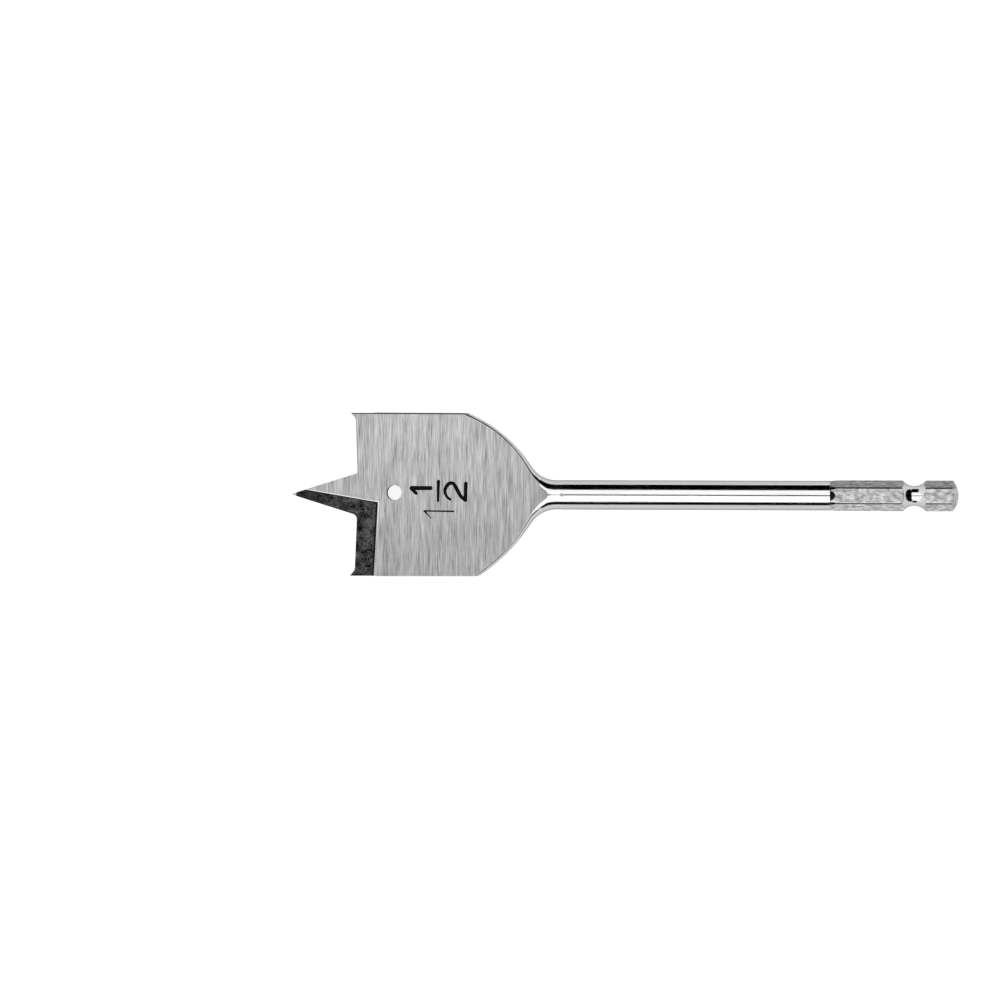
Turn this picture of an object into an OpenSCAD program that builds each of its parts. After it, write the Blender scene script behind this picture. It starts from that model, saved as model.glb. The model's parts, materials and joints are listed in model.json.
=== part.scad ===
// Flat wood-boring spade bit, forged and ground from one bar of tool steel.
// The tool axis is X: the point looks along -X and the drive end is at the origin.
// The bit lies as it comes to rest, on its round shank and on one edge of the blade.

/* [Bar] */
// Length from the tip of the point to the drive end
overall_length = 154.8; // [140:0.1:180]
// Diameter of the round shank
shank_d = 6.85; // [6:0.05:8]

/* [Blade] */
// Cutting diameter over the two leading edges
blade_d = 38.1; // [32:0.1:44]
// Thickness of the blade between its ground faces
blade_t = 2.2; // [1.8:0.1:3]
// Angle by which each side of the blade falls away behind its leading edge
side_relief = 9; // [4:0.5:14]
// Angle by which each side of the blade closes in towards the shank
back_taper = 0.2; // [0:0.05:0.6]
// Diameter of the hanging hole
hole_d = 3.5; // [2:0.1:6]
// Distance of the hanging hole from the tip
hole_x = 23.9; // [22:0.1:34]
// Distance of the hanging hole from the tool axis
hole_y = 0.4; // [-4:0.1:4]

/* [Shoulders and neck] */
// Distance from the tip to the shoulder corner on the far side, +Y
far_corner_x = 40.9; // [37:0.1:44]
// Distance from the tip to the shoulder corner on the near side, -Y
near_corner_x = 43.6; // [37:0.1:45]
// Distance from the tip to where the neck has become the round shank
neck_x = 61.8; // [59:0.1:68]
// Radius of the hollow curve of the neck
neck_r = 7.2; // [5:0.1:9]
// Steepest angle of the outline to the tool axis, between shoulder and neck
neck_turn = 57; // [52:0.5:64]
// Distance from the tip to where the ground faces begin to rise
ramp_x = 48; // [44:0.1:53]
// Distance from the tip to where the ground faces run out on the shank
runout_x = 60; // [57:0.1:61.5]
// Depth that grinding took off each rolled edge of the forging
grind_stock = 0.04; // [0.02:0.01:0.1]

/* [Cutting end] */
// Distance from the tip to the inner end of the lips
lip_x = 15.1; // [12:0.1:18]
// Half of the angle between the flanks of the point
point_half_angle = 17.3; // [14:0.1:22]
// Angle by which the lips lean forward towards the outside
lip_lean = 2; // [0:0.1:5]
// Angle by which the end faces fall away behind the cutting edges
lip_clearance = 10; // [5:0.5:15]
// Radius in the corner between point and lip on the near side
near_root_r = 1.3; // [0.3:0.1:2]
// Radius in the corner between point and lip on the far side
far_root_r = 0.3; // [0.3:0.1:2]
// Height of the spurs in front of the lips
spur_h = 1.3; // [0.9:0.05:2]
// Angle between the inner edge of a spur and its lip
spur_angle = 42; // [30:1:55]
// Radius in the corner between lip and spur
spur_root_r = 1.5; // [0.3:0.1:2]
// Angle of the small bevels that bring the point to its tip
tip_bevel = 27; // [12:1:35]
// Thickness left at the very tip
tip_t = 0.2; // [0.1:0.05:0.6]
// Width left at the very tip
tip_w = 0.3; // [0.1:0.05:0.8]

/* [Forged rake recess] */
// Depth of the recess under the ground face
rake_depth = 0.55; // [0.2:0.05:0.7]
// Distance from the tip to the inner corner of the recess
rake_x = 20.2; // [18:0.1:21.5]
// Distance of the inner corner of the recess beyond the tool axis
rake_y = 1.8; // [0.5:0.1:3]
// Lean of the wall behind the lip, seen on the face
rake_back_lean = 3; // [0:0.5:8]
// Lean of the wall along the point, seen on the face
rake_point_lean = 9.6; // [5:0.1:14]
// Slope of the wall behind the lip, from square to the face
rake_back_slope = 48; // [5:1:55]
// Slope of the wall along the point, from square to the face
rake_point_slope = 25; // [5:1:55]

/* [Hexagon drive] */
// Size of the hexagon across its flats
hex_af = 6.35; // [5.5:0.05:6.6]
// Diameter of the hexagon over its rounded corners
hex_corner_d = 7.1; // [6.9:0.05:7.3]
// Distance from the tip to where the flats begin
hex_x = 125.3; // [110:0.1:130]
// Length of the run-out cone in front of the flats
hex_lead = 1.5; // [0.8:0.1:3]
// Distance from the drive end to the middle of the ball groove
groove_from_end = 10.2; // [8:0.1:13]
// Diameter left at the bottom of the ball groove
groove_d = 4.55; // [4:0.05:5.5]
// Radius of the ball groove's hollow
groove_r = 3.4; // [2:0.1:4]
// Radius of the domed drive end
dome_r = 5.6; // [4.5:0.1:12]

/* [Hidden] */
$fn = 96;

// Radii and half sizes
shank_r = shank_d / 2;
blade_r = blade_d / 2;
half_t = blade_t / 2;
flat_r = hex_af / 2;
hex_corner_r = hex_corner_d / 2;

// Room by which cutters pass the surfaces that they cut
over = 5;
// Depth by which the forged neck runs in under the surface of the bar
seam = 0.04;

// Level of the cutting edges, on the floor of the rake recess
lip_z = half_t - rake_depth;

// Outline: hollow neck arc, then a full arc out to each shoulder corner
bend_x = neck_x - neck_r * sin(neck_turn);
bend_w = shank_r + neck_r * (1 - cos(neck_turn));
function chord(corner_x) = [bend_x - corner_x, blade_r - bend_w];
function chord_angle(corner_x) = atan2(chord(corner_x).y, chord(corner_x).x);
function shoulder_r(corner_x) =
    norm(chord(corner_x)) / (2 * sin(neck_turn - chord_angle(corner_x)));
function shoulder_centre(corner_x) =
    [bend_x, bend_w] - shoulder_r(corner_x) * [sin(neck_turn), cos(neck_turn)];
// The forging goes on past the corner in a straight line, outside the ground sides
min_corner_angle = 15;
function corner_angle(corner_x) =
    max(2 * chord_angle(corner_x) - neck_turn, min_corner_angle);

function neck_width(x) = shank_r + neck_r - sqrt(pow(neck_r, 2) - pow(neck_x - x, 2));
function shoulder_width(x, corner_x) =
    shoulder_centre(corner_x).y
    + sqrt(pow(shoulder_r(corner_x), 2) - pow(x - shoulder_centre(corner_x).x, 2));
function corner_width(x, corner_x) = blade_r + (corner_x - x) * tan(corner_angle(corner_x));
function half_width(x, corner_x) =
    x >= neck_x ? shank_r - seam
    : x >= bend_x ? neck_width(x) - seam
    : x >= corner_x ? shoulder_width(x, corner_x) - seam
    : corner_width(x, corner_x);

// Ground faces: flat over the blade, then a wheel-shaped rise to the bar's surface
ramp_run = runout_x - ramp_x;
ramp_rise = shank_r - half_t;
wheel_r = (pow(ramp_run, 2) + pow(ramp_rise, 2)) / (2 * ramp_rise);
function face_height(x) =
    x <= ramp_x ? half_t
    : x >= runout_x ? shank_r
    : half_t + wheel_r - sqrt(pow(wheel_r, 2) - pow(x - ramp_x, 2));

// Forging: half thickness and rolled edge at each station
function forged_height(x) = min(face_height(x) + grind_stock, shank_r - seam);
function edge_run(x) = min(forged_height(x), half_width(x, far_corner_x) - seam);

// The bar starts as a slight cone inside the neck and comes up through its surface
bar_lead = 2.5;
bar_sink = 0.1;
bar_back = 0.5;
bar_start_r = shank_r - bar_sink;
bar_start_x = neck_x - bar_back;
bar_x = bar_start_x + bar_lead;
// Turn of the bar about its axis, which keeps its seam off the line on which it rests
bar_turn = -15;

// Stations of the forging, from inside the flat blade to inside the bar
blank_end_x = min(far_corner_x, near_corner_x) - 2 * (half_t + grind_stock) / tan(min_corner_angle);
bar_overlap = 1.5;
shoulder_steps = 18;
neck_steps = 22;
stations = concat(
    [blank_end_x - over / 2, blank_end_x],
    [min(far_corner_x, near_corner_x)],
    [
        for (i = [1:shoulder_steps])
            let (from_x = min(far_corner_x, near_corner_x))
            from_x + (bend_x - from_x) * i / shoulder_steps
    ],
    [for (i = [neck_steps - 1:-1:0]) neck_x - neck_r * sin(neck_turn * i / neck_steps)],
    [bar_x + bar_overlap]
);

// One section of the forging: a flat between two rolled edges
edge_steps = 12;
function rolled_edge(x, width, from_angle) = [
    for (i = [0:2 * edge_steps])
        let (a = from_angle + 90 * i / edge_steps)
        [x, sign(width) * (abs(width) - edge_run(x)) + edge_run(x) * cos(a), forged_height(x) * sin(a)]
];
function section(x) = concat(
    rolled_edge(x, half_width(x, far_corner_x), -90),
    rolled_edge(x, -half_width(x, near_corner_x), 90)
);

// Skin over a row of sections that all have the same number of points
module skin(rings) {
    count = len(rings[0]);
    last = len(rings) - 1;
    sides = [
        for (i = [0:last - 1], j = [0:count - 1])
            let (k = (j + 1) % count)
            [i * count + j, (i + 1) * count + j, (i + 1) * count + k, i * count + k]
    ];
    polyhedron(
        points = [for (ring = rings, point = ring) point],
        faces = concat(
            [[for (j = [0:count - 1]) j]],
            sides,
            [[for (j = [count - 1:-1:0]) last * count + j]]
        ),
        convexity = 6
    );
}

// Shoulders and neck as forged, with rolled edges
module forging() {
    skin([for (x = stations) section(x)]);
}

// Flat of the blade as forged, larger than what grinding leaves
module blank() {
    translate([-over, -blade_r - over, -half_t - over])
        cube([blank_end_x + over, blade_d + 2 * over, blade_t + 2 * over]);
}

// What lies between the two ground faces
module between_faces() {
    top = shank_r + over;
    rotate([90, 0, 0])
        linear_extrude(blade_d + 4 * over, center = true)
            union() {
                translate([-2 * over, -half_t])
                    square([2 * over + ramp_x, blade_t]);
                difference() {
                    translate([ramp_x, -top])
                        square([neck_x + over - ramp_x, 2 * top]);
                    for (side = [-1, 1])
                        translate([ramp_x, side * (half_t + wheel_r)])
                            circle(wheel_r, $fn = 360);
                }
            }
}

// What lies inside the two ground sides, each falling away behind its leading edge
module between_sides() {
    intersection_for (turn = [0, 180])
        rotate([turn, 0, 0])
            translate([lip_x, -blade_r, half_t])
                rotate([side_relief, 0, back_taper])
                    translate([-lip_x - over, 0, -blade_r])
                        cube([neck_x + 3 * over, 2 * blade_d, blade_d]);
}

// Space in front of one lip, between the flank of the point and the spur
arc_steps = 10;
function end_outline(root_r) =
    let (
        tip_x = -lip_z * tan(lip_clearance),
        root_y = -tip_w / 2 - (lip_x - tip_x) * tan(point_half_angle),
        root_turn = 90 - point_half_angle,
        root_run = root_r * tan(root_turn / 2),
        root_centre = [lip_x - root_r, root_y - root_run],
        foot_y = -blade_r + spur_h / tan(spur_angle) + spur_root_r * tan(spur_angle / 2),
        foot_x = lip_x + (foot_y - root_y) * tan(lip_lean)
    )
    concat(
        [[-3 * over, 0], [tip_x, 0], [tip_x, -tip_w / 2]],
        [
            for (i = [0:arc_steps])
                let (a = root_turn * (1 - i / arc_steps))
                root_centre + root_r * [cos(a), sin(a)]
        ],
        [
            for (i = [0:arc_steps])
                let (a = spur_angle * i / arc_steps)
                [foot_x - spur_root_r * (1 - cos(a)), foot_y - spur_root_r * sin(a)]
        ],
        [
            [foot_x - spur_h, -blade_r],
            [foot_x - spur_h - over, -blade_r - over],
            [-3 * over, -blade_r - over]
        ]
    );

module lip_space(root_r) {
    translate([lip_x, 0, lip_z])
        rotate([0, -lip_clearance, 0])
            linear_extrude(8 * over, center = true)
                polygon([
                    for (p = end_outline(root_r))
                        [(p.x - lip_x) * cos(lip_clearance), p.y]
                ]);
}

// Recess in front of one rake face: a floor and two sloping walls
module rake_recess() {
    reach = blade_d + 4 * over;
    intersection() {
        translate([-over, -reach, lip_z])
            cube([reach, 2 * reach, 2 * over]);
        translate([rake_x, -rake_y, half_t])
            rotate([0, 0, -rake_back_lean])
                rotate([0, rake_back_slope, 0])
                    translate([-reach, -reach, -reach])
                        cube([reach, 2 * reach, 2 * reach]);
        translate([rake_x, -rake_y, half_t])
            rotate([0, 0, -rake_point_lean])
                rotate([-rake_point_slope, 0, 0])
                    translate([-reach, -reach, -reach])
                        cube([2 * reach, reach, 2 * reach]);
    }
}

// Small bevel that thins the point towards its tip
module tip_bevel_cut() {
    translate([0, 0, tip_t / 2])
        rotate([0, -tip_bevel, 0])
            translate([-2 * over, -over, 0])
                cube([4 * over, 2 * over, 2 * over]);
}

module blade() {
    difference() {
        intersection() {
            union() {
                blank();
                forging();
            }
            between_faces();
            between_sides();
        }
        lip_space(near_root_r);
        rotate([180, 0, 0])
            lip_space(far_root_r);
        for (turn = [0, 180])
            rotate([turn, 0, 0]) {
                rake_recess();
                tip_bevel_cut();
            }
        translate([hole_x, hole_y, 0])
            cylinder(h = blade_t + 2 * over, d = hole_d, center = true);
    }
}

// Round shank, between the cone that starts it and the cone that runs out into the flats
module bar() {
    rotate([bar_turn, 0, 0])
        rotate([0, 90, 0])
            rotate_extrude()
                polygon([
                    [0, bar_start_x],
                    [bar_start_r, bar_start_x],
                    [shank_r, bar_x],
                    [shank_r, hex_x],
                    [flat_r - seam, hex_x + hex_lead],
                    [0, hex_x + hex_lead]
                ]);
}

// Hexagon with rounded corners, a tapered start and a domed end
module hexagon() {
    start_x = hex_x - hex_lead;
    intersection() {
        translate([start_x, 0, 0])
            rotate([30, 0, 0])
                rotate([0, 90, 0])
                    cylinder(h = overall_length - start_x, r = flat_r / cos(30), $fn = 6);
        rotate([0, 90, 0])
            rotate_extrude()
                polygon([
                    [0, start_x],
                    [flat_r, start_x],
                    [hex_corner_r, hex_x + hex_lead],
                    [hex_corner_r, overall_length],
                    [0, overall_length]
                ]);
        translate([overall_length - dome_r, 0, 0])
            rotate([0, 90, 0])
                union() {
                    sphere(dome_r);
                    translate([0, 0, -overall_length])
                        cylinder(h = overall_length, r = dome_r);
                }
    }
}

module ball_groove() {
    translate([overall_length - groove_from_end, 0, 0])
        rotate([0, 90, 0])
            rotate_extrude()
                translate([groove_d / 2 + groove_r, 0])
                    circle(groove_r);
}

// Roll at which the bit rests on its shank and on the near edge of the blade
low_edge_y = blade_r - blade_t * tan(side_relief);
rest_roll = asin(shank_r / norm([low_edge_y, half_t])) - atan2(half_t, low_edge_y);

module spade_bit() {
    color("silver")
        rotate([rest_roll, 0, 0])
            translate([-overall_length, 0, 0])
                difference() {
                    union() {
                        blade();
                        bar();
                        hexagon();
                    }
                    ball_groove();
                }
}

spade_bit();
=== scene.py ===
import json
import math

import bmesh
import bpy
from mathutils import Matrix, Vector


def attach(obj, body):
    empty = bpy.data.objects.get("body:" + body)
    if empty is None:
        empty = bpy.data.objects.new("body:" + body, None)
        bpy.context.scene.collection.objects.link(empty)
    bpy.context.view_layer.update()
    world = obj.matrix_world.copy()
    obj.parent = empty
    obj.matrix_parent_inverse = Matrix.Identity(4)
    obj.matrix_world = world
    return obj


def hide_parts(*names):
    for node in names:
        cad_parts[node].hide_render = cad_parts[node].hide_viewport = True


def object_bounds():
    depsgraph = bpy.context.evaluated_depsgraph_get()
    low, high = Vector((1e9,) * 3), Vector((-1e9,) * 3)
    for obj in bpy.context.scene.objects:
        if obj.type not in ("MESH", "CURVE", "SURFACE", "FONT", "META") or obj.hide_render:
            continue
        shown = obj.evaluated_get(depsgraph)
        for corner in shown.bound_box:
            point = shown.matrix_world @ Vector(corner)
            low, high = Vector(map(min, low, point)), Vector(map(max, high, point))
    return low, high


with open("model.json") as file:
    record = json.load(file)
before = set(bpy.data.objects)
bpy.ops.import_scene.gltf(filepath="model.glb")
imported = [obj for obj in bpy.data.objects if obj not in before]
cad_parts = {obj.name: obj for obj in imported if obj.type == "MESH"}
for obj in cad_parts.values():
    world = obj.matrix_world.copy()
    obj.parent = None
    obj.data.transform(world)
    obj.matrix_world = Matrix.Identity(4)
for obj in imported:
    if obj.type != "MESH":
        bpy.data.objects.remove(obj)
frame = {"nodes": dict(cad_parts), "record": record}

cad_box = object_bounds()

# Spade bit
# One bar of tool steel whose end is forged flat, ground across both faces and round its
# edges, coined at each lip and pressed to a hexagon. The CAD mesh, merged, carries a
# finish of its own on each of these surfaces.
mm = 0.001
mounts = {mount["name"]: mount for mount in frame["record"]["mounts"]}
axis = Vector((1, 0, 0))
face_normal = Vector(mounts["hang_hole"]["axis"])
across = face_normal.cross(axis)
roll = math.atan2(across.z, across.y)
half_thickness = mounts["hang_hole"]["dims"]["length_mm"] * mm / 2
hole_centre = Vector(mounts["hang_hole"]["pos_m"])
hole_radius = mounts["hang_hole"]["dims"]["r_mm"] * mm
shank_radius = mounts["shank"]["dims"]["r_mm"] * mm

# Places along the bit, from the tip of its point
length = -cad_box[0].x
recess_to = 21.5 * mm
sides_to = 45.0 * mm
ramp_from = 48.0 * mm
ramp_to = 60.0 * mm
hexagon_from = 125.3 * mm
lead = 1.5 * mm
dome_from = length - 2.0 * mm

# The round of the grinding wheel that leaves the ramp
ramp_rise = shank_radius - half_thickness
wheel_radius = ((ramp_to - ramp_from) ** 2 + ramp_rise**2) / (2 * ramp_rise)
ground_depth = 0.06 * mm

GROUND, SCALE, WALL, EDGE, BAR, HEXAGON = range(6)


def finish_of(face):
    place = face.calc_center_median()
    along = place.x + length
    height = abs(place.dot(face_normal))
    facing = abs(face.normal.dot(face_normal))
    sideways = abs(face.normal.dot(across))
    if along > hexagon_from:
        # The cone that runs out into a flat takes the near-black scale finish on the top and
        # bottom flats, as a painted dark reflection
        if along < hexagon_from + lead and face.normal.x > 0.05:
            return SCALE if facing > 0.8 else HEXAGON
        if along > dome_from and face.normal.x > 0.3:
            return HEXAGON
        # The rounded corners and the groove are as bright as the bar
        turn = math.degrees(math.atan2(sideways, facing)) % 60
        on_flat = abs(face.normal.x) < 0.02 and min(turn, 60 - turn) < 10
        return HEXAGON if on_flat else BAR
    # The ground face stops where the wheel ran out up the ramp
    ground_height = half_thickness
    if along > ramp_from:
        run = min(along, ramp_to) - ramp_from
        ground_height += wheel_radius - math.sqrt(wheel_radius**2 - run**2)
    if facing > 0.85 and sideways < 0.02 and height > ground_height - ground_depth:
        return GROUND
    raised_side = place.dot(across) * place.dot(face_normal) > 0
    if ramp_from < along < ramp_to - 2 * mm and raised_side and facing > 0.92:
        return GROUND
    # The floor, the bevels, the steep walls and the edges round the lips and the point; the
    # near-black of the walls is partly painted shade
    if along < recess_to:
        if facing > 0.999:
            return SCALE
        if facing > 0.85:
            return GROUND
        return WALL if facing > 0.35 else EDGE
    if along < sides_to and abs(face.normal.x) < 0.05 and facing < 0.25:
        return EDGE
    # The wall of the hole takes the same near-black, partly painted shade of the wall in shadow
    if (place - hole_centre).length < hole_radius * 1.2:
        return WALL
    return BAR


mesh = bmesh.new()
mesh.from_mesh(frame["nodes"]["spade_bit"].data)
bmesh.ops.remove_doubles(mesh, verts=mesh.verts, dist=0.001 * mm)
mesh.normal_update()
for face in mesh.faces:
    face.material_index = finish_of(face)

# Triangles that lie in one plane are joined, so that the next bevel follows whole edges
flat = 0.001
seams = [
    edge
    for edge in mesh.edges
    if edge.calc_face_angle() < flat and len({f.material_index for f in edge.link_faces}) == 1
]
bmesh.ops.dissolve_limit(mesh, angle_limit=flat, verts=[], edges=seams)

# The rim between the ground face and the walls of the coined recess is rubbed bright
rubbed = [
    edge
    for edge in mesh.edges
    if {f.material_index for f in edge.link_faces} == {GROUND, WALL}
    and edge.verts[0].co.x + length < recess_to
]
rounded = bmesh.ops.bevel(
    mesh,
    geom=rubbed,
    offset=0.13 * mm,
    offset_type="OFFSET",
    affect="EDGES",
    segments=3,
    profile=0.5,
    material=-1,
)
for face in rounded["faces"]:
    face.material_index = BAR

# Shading breaks at real edges and where one finish ends
crease = math.radians(20)
for face in mesh.faces:
    face.smooth = True
for edge in mesh.edges:
    one, other = edge.link_faces
    edge.smooth = one.material_index == other.material_index and edge.calc_face_angle() < crease
bit_mesh = bpy.data.meshes.new("bit_steel")
mesh.to_mesh(bit_mesh)
mesh.free()
bit = bpy.data.objects.new("bit_steel", bit_mesh)
bpy.context.collection.objects.link(bit)


def linear(code):
    channels = [int(code[i:i + 2], 16) / 255 for i in (1, 3, 5)]
    return tuple(
        c / 12.92 if c <= 0.04045 else ((c + 0.055) / 1.055) ** 2.4 for c in channels
    ) + (1,)


def per_mm(*sides):
    return [1 / (side * mm) for side in sides]


def add(tree, kind, inputs=None, **settings):
    added = tree.nodes.new(kind)
    for name, value in settings.items():
        setattr(added, name, value)
    for key, value in (inputs or {}).items():
        if isinstance(value, bpy.types.NodeSocket):
            tree.links.new(value, added.inputs[key])
        else:
            added.inputs[key].default_value = value
    return added


# Every pattern is laid out on the blade, which lies rolled a little about its axis
def start_material(name):
    material = bpy.data.materials.new(name)
    material.use_nodes = True
    tree = material.node_tree
    place = add(tree, "ShaderNodeTexCoord")
    on_blade = add(
        tree,
        "ShaderNodeMapping",
        {"Vector": place.outputs["Object"], "Rotation": (-roll, 0, 0)},
    )
    return material, tree, tree.nodes["Principled BSDF"], on_blade.outputs["Vector"]


# Cross-ground tool steel: satin grey with wheel lines that run across the blade, painted shade
# that darkens it towards the near side and lightens it towards the far side, darker again up the
# ramp, and edges that the wheel has rounded. The lines are drawn coarser than the grit, so that
# they show.
ground, tree, surface, vector = start_material("cross_ground_tool_steel")
grit = add(tree, "ShaderNodeMapping", {"Vector": vector, "Scale": per_mm(0.22, 6.0, 6.0)})
lines = add(
    tree,
    "ShaderNodeTexNoise",
    {"Vector": grit.outputs[0], "Scale": 1.0, "Detail": 4.0, "Roughness": 0.7},
)
passes = add(tree, "ShaderNodeMapping", {"Vector": vector, "Scale": per_mm(2.2, 60.0, 60.0)})
bands = add(
    tree, "ShaderNodeTexNoise", {"Vector": passes.outputs[0], "Scale": 1.0, "Detail": 1.0}
)
mixed = add(
    tree,
    "ShaderNodeMath",
    {0: bands.outputs["Fac"], 1: 0.3, 2: lines.outputs["Fac"]},
    operation="MULTIPLY_ADD",
)
tone = add(
    tree, "ShaderNodeMapRange", {"Value": mixed.outputs[0], "From Min": 0.47, "From Max": 0.83}
)
colour = add(
    tree,
    "ShaderNodeMix",
    {0: tone.outputs[0], 6: linear("#898989"), 7: linear("#D8D8D8")},
    data_type="RGBA",
)
# Painted shade: the face is darker towards the near side and lighter towards the far side, as
# the light fell on it
spot = add(tree, "ShaderNodeSeparateXYZ", {"Vector": vector})
painted_side_shade = add(
    tree,
    "ShaderNodeMapRange",
    {
        "Value": spot.outputs["Y"], "From Min": -15 * mm, "From Max": 15 * mm,
        "To Min": 0.87, "To Max": 1.07,
    },
)
ramp_darkening = add(
    tree,
    "ShaderNodeMapRange",
    {
        "Value": spot.outputs["X"], "From Min": ramp_from - length, "From Max": ramp_to - length,
        "To Min": 1.0, "To Max": 0.75,
    },
)
level = add(
    tree, "ShaderNodeMath", {0: painted_side_shade.outputs[0], 1: ramp_darkening.outputs[0]}, operation="MULTIPLY"
)
shaded = add(
    tree,
    "ShaderNodeVectorMath",
    {"Vector": colour.outputs[2], "Scale": level.outputs[0]},
    operation="SCALE",
)
gloss = add(
    tree,
    "ShaderNodeMapRange",
    {
        "Value": lines.outputs["Fac"], "From Min": 0.3, "From Max": 0.7,
        "To Min": 0.32, "To Max": 0.44,
    },
)
worn = add(tree, "ShaderNodeBevel", {"Radius": 0.14 * mm}, samples=8)
relief = add(
    tree,
    "ShaderNodeBump",
    {
        "Height": lines.outputs["Fac"], "Strength": 1.0, "Distance": 0.006 * mm,
        "Normal": worn.outputs[0],
    },
)
tree.links.new(shaded.outputs[0], surface.inputs["Base Color"])
tree.links.new(gloss.outputs[0], surface.inputs["Roughness"])
tree.links.new(relief.outputs[0], surface.inputs["Normal"])
surface.inputs["Metallic"].default_value = 1.0

# Coined steel with its heat scale left on: nearly black, blotched and patchy, darkest
# along the point
scale, tree, surface, vector = start_material("coined_steel_with_scale")
flecks = add(tree, "ShaderNodeMapping", {"Vector": vector, "Scale": per_mm(0.34, 0.36, 0.36)})
blotches = add(
    tree,
    "ShaderNodeTexNoise",
    {"Vector": flecks.outputs[0], "Scale": 1.0, "Detail": 4.0, "Roughness": 0.75},
)
clouds = add(tree, "ShaderNodeMapping", {"Vector": vector, "Scale": per_mm(3.0, 2.4, 2.4)})
patches = add(
    tree, "ShaderNodeTexNoise", {"Vector": clouds.outputs[0], "Scale": 1.0, "Detail": 2.0}
)
mixed = add(
    tree,
    "ShaderNodeMath",
    {0: patches.outputs["Fac"], 1: 0.6, 2: blotches.outputs["Fac"]},
    operation="MULTIPLY_ADD",
)
tone = add(
    tree, "ShaderNodeMapRange", {"Value": mixed.outputs[0], "From Min": 0.68, "From Max": 1.0}
)
colour = add(
    tree,
    "ShaderNodeMix",
    {0: tone.outputs[0], 6: linear("#050505"), 7: linear("#6A6A6A")},
    data_type="RGBA",
)
spot = add(tree, "ShaderNodeSeparateXYZ", {"Vector": vector})
heat = add(
    tree,
    "ShaderNodeMapRange",
    {
        "Value": spot.outputs["X"], "From Min": 4 * mm - length, "From Max": 16 * mm - length,
        "To Min": 0.5,
    },
)
shaded = add(
    tree,
    "ShaderNodeVectorMath",
    {"Vector": colour.outputs[2], "Scale": heat.outputs[0]},
    operation="SCALE",
)
worn = add(tree, "ShaderNodeBevel", {"Radius": 0.07 * mm}, samples=8)
relief = add(
    tree,
    "ShaderNodeBump",
    {
        "Height": blotches.outputs["Fac"], "Strength": 1.0, "Distance": 0.02 * mm,
        "Normal": worn.outputs[0],
    },
)
tree.links.new(shaded.outputs[0], surface.inputs["Base Color"])
tree.links.new(relief.outputs[0], surface.inputs["Normal"])
surface.inputs["Metallic"].default_value = 1.0
surface.inputs["Roughness"].default_value = 0.5

# Near-black on the steep walls of the coined recess and in the hole, matt: partly forge scale,
# partly painted shade of walls in shadow
scale_and_wall_shade, tree, surface, vector = start_material("forge_scale_and_painted_wall_shade")
surface.inputs["Base Color"].default_value = linear("#080808")
surface.inputs["Roughness"].default_value = 0.6
surface.inputs["Specular IOR Level"].default_value = 0.15

# Ground edges of the lips, point and sides: finer than the faces, and darker, partly by their
# grinding and partly as painted shade of the shadowed floor they reflect
edge_steel, tree, surface, vector = start_material("ground_edge_steel")
grit = add(tree, "ShaderNodeMapping", {"Vector": vector, "Scale": per_mm(6.0, 6.0, 0.15)})
lines = add(
    tree, "ShaderNodeTexNoise", {"Vector": grit.outputs[0], "Scale": 1.0, "Detail": 2.0}
)
tone = add(
    tree, "ShaderNodeMapRange", {"Value": lines.outputs["Fac"], "From Min": 0.3, "From Max": 0.7}
)
colour = add(
    tree,
    "ShaderNodeMix",
    {0: tone.outputs[0], 6: linear("#626262"), 7: linear("#8A8A8A")},
    data_type="RGBA",
)
worn = add(tree, "ShaderNodeBevel", {"Radius": 0.05 * mm}, samples=8)
tree.links.new(colour.outputs[2], surface.inputs["Base Color"])
tree.links.new(worn.outputs[0], surface.inputs["Normal"])
surface.inputs["Metallic"].default_value = 1.0
surface.inputs["Roughness"].default_value = 0.35
surface.inputs["Specular Tint"].default_value = linear("#8C8C8C")

# Polished drawn bar: near mirror, with faint draw lines along it and smears of polish
bar_steel, tree, surface, vector = start_material("polished_bar_steel")
drawing = add(tree, "ShaderNodeMapping", {"Vector": vector, "Scale": per_mm(14.0, 0.12, 0.12)})
draw_lines = add(
    tree, "ShaderNodeTexNoise", {"Vector": drawing.outputs[0], "Scale": 1.0, "Detail": 2.0}
)
buffing = add(tree, "ShaderNodeMapping", {"Vector": vector, "Scale": per_mm(5.0, 2.0, 2.0)})
smears = add(
    tree, "ShaderNodeTexNoise", {"Vector": buffing.outputs[0], "Scale": 1.0, "Detail": 3.0}
)
gloss = add(
    tree,
    "ShaderNodeMapRange",
    {
        "Value": smears.outputs["Fac"], "From Min": 0.35, "From Max": 0.7,
        "To Min": 0.1, "To Max": 0.17,
    },
)
tone = add(
    tree,
    "ShaderNodeMapRange",
    {"Value": draw_lines.outputs["Fac"], "From Min": 0.3, "From Max": 0.7},
)
colour = add(
    tree,
    "ShaderNodeMix",
    {0: tone.outputs[0], 6: linear("#CECECE"), 7: linear("#E0E0E0")},
    data_type="RGBA",
)
worn = add(tree, "ShaderNodeBevel", {"Radius": 0.22 * mm}, samples=8)
relief = add(
    tree,
    "ShaderNodeBump",
    {
        "Height": draw_lines.outputs["Fac"], "Strength": 1.0, "Distance": 0.001 * mm,
        "Normal": worn.outputs[0],
    },
)
tree.links.new(colour.outputs[2], surface.inputs["Base Color"])
tree.links.new(gloss.outputs[0], surface.inputs["Roughness"])
tree.links.new(relief.outputs[0], surface.inputs["Normal"])
surface.inputs["Metallic"].default_value = 1.0
surface.inputs["Specular Tint"].default_value = linear("#B4B4B4")
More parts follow.
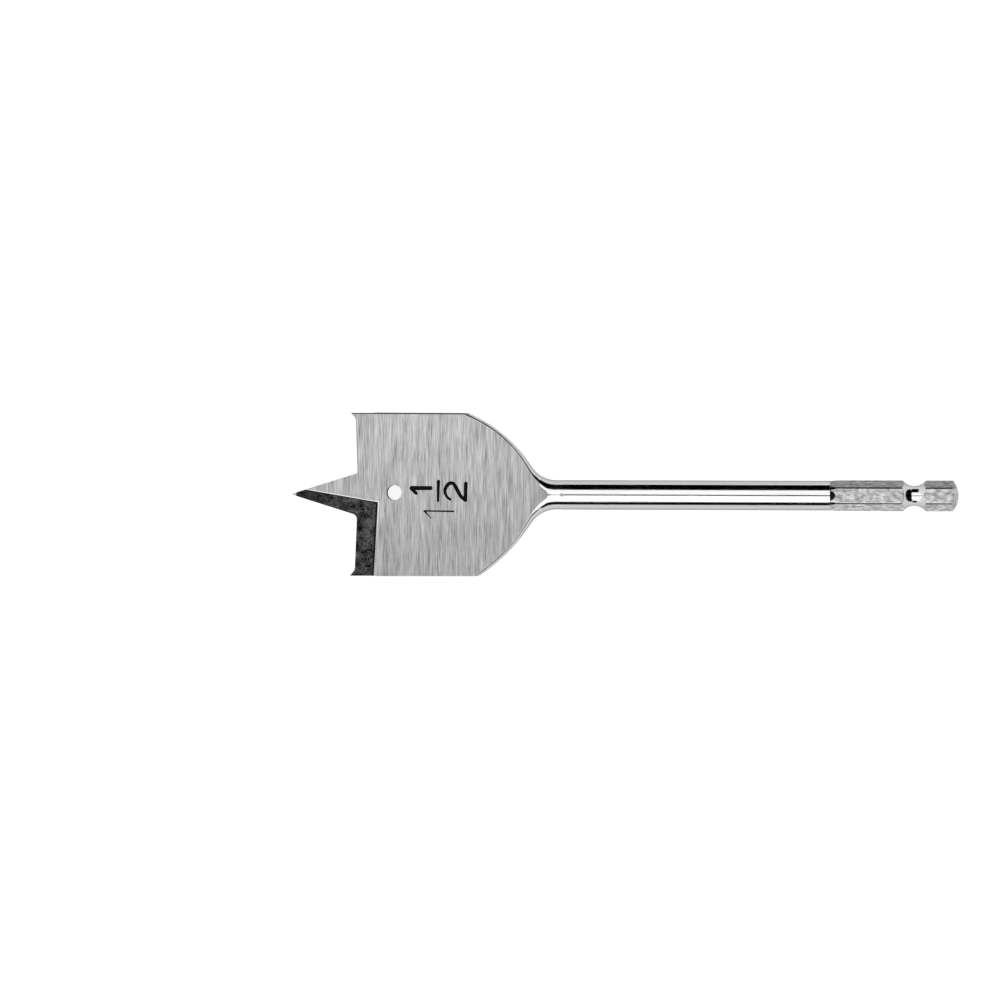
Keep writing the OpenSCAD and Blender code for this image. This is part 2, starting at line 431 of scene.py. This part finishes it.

# Pressed hexagon: duller than the bar, mottled by the dies, with painted shade darkening the
# flats of the raised side
pressed, tree, surface, vector = start_material("pressed_hexagon_steel")
dies = add(tree, "ShaderNodeMapping", {"Vector": vector, "Scale": per_mm(1.4, 0.8, 0.8)})
mottle = add(
    tree,
    "ShaderNodeTexNoise",
    {"Vector": dies.outputs[0], "Scale": 1.0, "Detail": 4.0, "Roughness": 0.7},
)
tone = add(
    tree,
    "ShaderNodeMapRange",
    {"Value": mottle.outputs["Fac"], "From Min": 0.37, "From Max": 0.65},
)
colour = add(
    tree,
    "ShaderNodeMix",
    {0: tone.outputs[0], 6: linear("#969696"), 7: linear("#ECECEC")},
    data_type="RGBA",
)
# Painted shade: the flats of the raised side are darkened, standing in for the shadowed floor
# they reflect
spot = add(tree, "ShaderNodeSeparateXYZ", {"Vector": vector})
painted_side_shade = add(
    tree,
    "ShaderNodeMapRange",
    {
        "Value": spot.outputs["Y"], "From Min": 1.6 * mm, "From Max": 1.9 * mm,
        "To Min": 1.0, "To Max": 0.54,
    },
)
shaded = add(
    tree,
    "ShaderNodeVectorMath",
    {"Vector": colour.outputs[2], "Scale": painted_side_shade.outputs[0]},
    operation="SCALE",
)
gloss = add(
    tree,
    "ShaderNodeMapRange",
    {
        "Value": mottle.outputs["Fac"], "From Min": 0.3, "From Max": 0.7,
        "To Min": 0.3, "To Max": 0.46,
    },
)
worn = add(tree, "ShaderNodeBevel", {"Radius": 0.22 * mm}, samples=8)
relief = add(
    tree,
    "ShaderNodeBump",
    {
        "Height": mottle.outputs["Fac"], "Strength": 1.0, "Distance": 0.01 * mm,
        "Normal": worn.outputs[0],
    },
)
tree.links.new(shaded.outputs[0], surface.inputs["Base Color"])
tree.links.new(gloss.outputs[0], surface.inputs["Roughness"])
tree.links.new(relief.outputs[0], surface.inputs["Normal"])
surface.inputs["Metallic"].default_value = 1.0

for material in (ground, scale, scale_and_wall_shade, edge_steel, bar_steel, pressed):
    bit_mesh.materials.append(material)
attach(bit, "root")
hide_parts("spade_bit")

# Size mark
# The cutting diameter in inches, written across the blade in black ink with a round
# pen: a bold half over a bar, and a thin whole one under it. A thin film on the face.
film = 0.02 * mm
pen_radius = 0.35 * mm
cap_steps = (0.4, 0.75, 0.95)

# Each point: from the tip of the bit, from its axis, and half the stroke's width, in mm
strokes = [
    [(28.00, 1.47, 0.50), (32.45, 1.48, 0.48)],
    [(27.92, 1.38, 0.43), (29.05, 0.25, 0.38)],
    [(34.28, 3.03, 0.39), (34.17, -1.47, 0.29)],
    [
        (37.02, -1.16, 0.28), (36.27, -0.58, 0.31), (35.86, 0.25, 0.36), (35.79, 1.06, 0.40),
        (36.12, 1.90, 0.43), (36.69, 2.53, 0.44), (37.21, 2.69, 0.44), (37.77, 2.53, 0.44),
        (38.23, 1.91, 0.44), (38.77, 0.88, 0.44), (39.39, -0.27, 0.43), (40.11, -0.99, 0.41),
        (40.58, -1.38, 0.36),
    ],
    [(40.60, -1.30, 0.41), (40.67, 2.59, 0.44)],
    [(30.94, -3.83, 0.17), (37.80, -3.90, 0.19)],
    [(31.00, -3.86, 0.22), (31.60, -4.48, 0.16), (32.52, -5.43, 0.10)],
]
pen = bpy.data.curves.new("size_mark", "CURVE")
pen.dimensions = "3D"
pen.bevel_depth = 1.0 * mm
pen.bevel_resolution = 4
pen.use_fill_caps = True
for stroke in strokes:
    points = [(Vector((x, y, 0)) * mm, width) for x, y, width in stroke]
    for end, inner in ((0, 1), (-1, -2)):
        outward = (points[end][0] - points[inner][0]).normalized()
        tip, width = points[end]
        cap = [
            (tip + outward * width * mm * step, width * math.sqrt(1 - step * step))
            for step in cap_steps
        ]
        points = cap[::-1] + points if end == 0 else points + cap
    spline = pen.splines.new("POLY")
    spline.points.add(len(points) - 1)
    for point, (at, width) in zip(spline.points, points):
        point.co = (*at, 1)
        point.radius = width
drawn = bpy.data.objects.new("size_mark_path", pen)
bpy.context.collection.objects.link(drawn)
bpy.context.view_layer.update()
laid_out = drawn.evaluated_get(bpy.context.evaluated_depsgraph_get())
mark_mesh = bpy.data.meshes.new_from_object(laid_out)
bpy.data.objects.remove(drawn)
bpy.data.curves.remove(pen)
mark_mesh.transform(Matrix.Diagonal((1, 1, film / pen_radius, 1)))
mark_mesh.transform(
    Matrix.Rotation(roll, 4, "X") @ Matrix.Translation((-length, 0, half_thickness))
)
mark_mesh.name = "size_mark"
mark = bpy.data.objects.new("size_mark", mark_mesh)
bpy.context.collection.objects.link(mark)

# Black marking ink: matt, a little thin where the pen ran dry
ink, tree, surface, vector = start_material("black_marking_ink")
dabs = add(tree, "ShaderNodeMapping", {"Vector": vector, "Scale": per_mm(0.5, 0.5, 0.5)})
wear = add(tree, "ShaderNodeTexNoise", {"Vector": dabs.outputs[0], "Scale": 1.0, "Detail": 3.0})
tone = add(
    tree, "ShaderNodeMapRange", {"Value": wear.outputs["Fac"], "From Min": 0.4, "From Max": 0.8}
)
colour = add(
    tree,
    "ShaderNodeMix",
    {0: tone.outputs[0], 6: linear("#040404"), 7: linear("#181818")},
    data_type="RGBA",
)
tree.links.new(colour.outputs[2], surface.inputs["Base Color"])
surface.inputs["Roughness"].default_value = 0.7
surface.inputs["Specular IOR Level"].default_value = 0.1
mark_mesh.materials.append(ink)
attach(mark, "root")

# Floor
# A plain pale sheet that the bit lies on. It is white to the eye out to the horizon, and
# keeps the soft shadow under the blade.
floor_size = 8.0
eye_glow = 0.78
mirror_share = 0.62
mesh = bmesh.new()
bmesh.ops.create_grid(mesh, x_segments=1, y_segments=1, size=floor_size / 2)
bmesh.ops.translate(mesh, verts=mesh.verts, vec=(-length / 2, 0, cad_box[0].z))
floor_mesh = bpy.data.meshes.new("floor")
mesh.to_mesh(floor_mesh)
mesh.free()
floor = bpy.data.objects.new("floor", floor_mesh)
bpy.context.collection.objects.link(floor)

# White paper: matt, with a glow that only the eye and mirrors see
paper = bpy.data.materials.new("white_paper")
paper.use_nodes = True
tree = paper.node_tree
tree.nodes.remove(tree.nodes["Principled BSDF"])
path = add(tree, "ShaderNodeLightPath")
mirrored = add(
    tree,
    "ShaderNodeMath",
    {0: path.outputs["Is Glossy Ray"], 1: path.outputs["Is Transmission Ray"]},
    operation="ADD",
    use_clamp=True,
)
seen = add(
    tree,
    "ShaderNodeMath",
    {0: mirrored.outputs[0], 1: mirror_share, 2: path.outputs["Is Camera Ray"]},
    operation="MULTIPLY_ADD",
)
lift = add(tree, "ShaderNodeMath", {0: seen.outputs[0], 1: eye_glow}, operation="MULTIPLY")
sheet = add(tree, "ShaderNodeBsdfDiffuse", {"Color": linear("#CBCBCB")})
glow = add(tree, "ShaderNodeEmission", {"Color": (1, 1, 1, 1), "Strength": lift.outputs[0]})
both = add(tree, "ShaderNodeAddShader", {0: sheet.outputs[0], 1: glow.outputs[0]})
tree.links.new(both.outputs[0], tree.nodes["Material Output"].inputs["Surface"])
floor_mesh.materials.append(paper)

# Light
# Two long softboxes side by side over the bit, ending not far past its drive end, in a
# white room. Black cards round them give the round steel its black bands, and a pale foot
# under the right card keeps the blade from going black in low views.
box_height = 0.6
far_reach = (-0.03, 0.387)
near_reach = (-1.12, -0.13)
left_end = -1.3
right_end = 0.15
softboxes = {"far_softbox": (far_reach, 0.45), "near_softbox": (near_reach, 0.63)}
for name, ((low, high), radiance) in softboxes.items():
    lamp = bpy.data.lights.new(name, "AREA")
    lamp.shape = "RECTANGLE"
    lamp.size = right_end - left_end
    lamp.size_y = high - low
    lamp.energy = radiance * math.pi * lamp.size * lamp.size_y
    softbox = bpy.data.objects.new(name, lamp)
    softbox.location = ((left_end + right_end) / 2, (low + high) / 2, box_height)
    softbox.visible_camera = False
    bpy.context.collection.objects.link(softbox)

# Each card: the two ends of its top edge, the sweep down from there, and its brightness
foot = cad_box[0].z + 2 * mm
fold = 0.14
spread = 0.2
flare = spread * (box_height - fold) / (box_height - foot)
card_end = -0.5
far_end = far_reach[1] + 0.5
far_lean = (0, 0.42, -0.5)
gap = far_reach[0] - near_reach[1]
black = 0.0
pale = 0.9
cards = {
    "far_card": (
        (card_end, far_reach[1], box_height), (right_end, far_reach[1], box_height),
        far_lean, black,
    ),
    "middle_card": (
        (left_end, near_reach[1], box_height), (right_end, near_reach[1], box_height),
        (0, gap, 0), black,
    ),
    "near_card": (
        (card_end, near_reach[0], box_height), (right_end, near_reach[0], box_height),
        (0, -spread, foot - box_height), black,
    ),
    "right_card": (
        (right_end, near_reach[0], box_height), (right_end, far_end, box_height),
        (flare, 0, fold - box_height), black,
    ),
    "right_foot": (
        (right_end + flare, near_reach[0], fold), (right_end + flare, far_end, fold),
        (spread - flare, 0, foot - fold), pale,
    ),
}
for name, (start, end, sweep, brightness) in cards.items():
    mesh = bmesh.new()
    rim = mesh.edges.new((mesh.verts.new(start), mesh.verts.new(end)))
    swept = bmesh.ops.extrude_edge_only(mesh, edges=[rim])["geom"]
    moved = [item for item in swept if isinstance(item, bmesh.types.BMVert)]
    bmesh.ops.translate(mesh, verts=moved, vec=sweep)
    card_mesh = bpy.data.meshes.new(name)
    mesh.to_mesh(card_mesh)
    mesh.free()
    paint = bpy.data.materials.new(name)
    paint.use_nodes = True
    surface = paint.node_tree.nodes["Principled BSDF"]
    surface.inputs["Base Color"].default_value = (0, 0, 0, 1)
    surface.inputs["Roughness"].default_value = 1.0
    surface.inputs["Specular IOR Level"].default_value = 0.0
    surface.inputs["Emission Color"].default_value = (1, 1, 1, 1)
    surface.inputs["Emission Strength"].default_value = brightness
    card_mesh.materials.append(paint)
    card = bpy.data.objects.new(name, card_mesh)
    bpy.context.collection.objects.link(card)
    card.visible_camera = False
    card.visible_diffuse = False
    card.visible_shadow = False
    card.visible_transmission = False

# The room is full white to the eye and in mirrors, and lights the rest more softly
world = bpy.data.worlds.new("white_room")
world.use_nodes = True
tree = world.node_tree
path = add(tree, "ShaderNodeLightPath")
eye_or_gloss = add(
    tree,
    "ShaderNodeMath",
    {0: path.outputs["Is Camera Ray"], 1: path.outputs["Is Glossy Ray"]},
    operation="ADD",
)
seen = add(
    tree,
    "ShaderNodeMath",
    {0: eye_or_gloss.outputs[0], 1: path.outputs["Is Transmission Ray"]},
    operation="ADD",
    use_clamp=True,
)
level = add(
    tree, "ShaderNodeMapRange", {"Value": seen.outputs[0], "To Min": 0.45, "To Max": 1.0}
)
tree.nodes["Background"].inputs["Color"].default_value = (1, 1, 1, 1)
tree.links.new(level.outputs[0], tree.nodes["Background"].inputs["Strength"])
bpy.context.scene.world = world

# Camera
# Far above the blade's face, leaning a little towards the drive end, with the bit right
# of the frame's middle.
stand_off = 1.5
frame_width = 0.23202
sensor_width = 36.0
lean = math.radians(6)
twist = 0.00313
aim_along = -0.10616
aim_across = -0.00124
sight = face_normal * math.cos(lean) + axis * math.sin(lean)
right = axis * math.cos(lean) - face_normal * math.sin(lean)
aim = axis * aim_along + across * aim_across + face_normal * half_thickness
camera_data = bpy.data.cameras.new("camera")
camera_data.sensor_width = sensor_width
camera_data.lens = sensor_width * stand_off / frame_width
camera_data.clip_start = 0.01
camera_data.clip_end = 20.0
camera = bpy.data.objects.new("camera", camera_data)
bpy.context.collection.objects.link(camera)
turned = Matrix((right, across, sight)).transposed() @ Matrix.Rotation(twist, 3, "Z")
camera.matrix_world = Matrix.Translation(aim + sight * stand_off) @ turned.to_4x4()
scene = bpy.context.scene
scene.camera = camera
scene.view_settings.view_transform = "Standard"
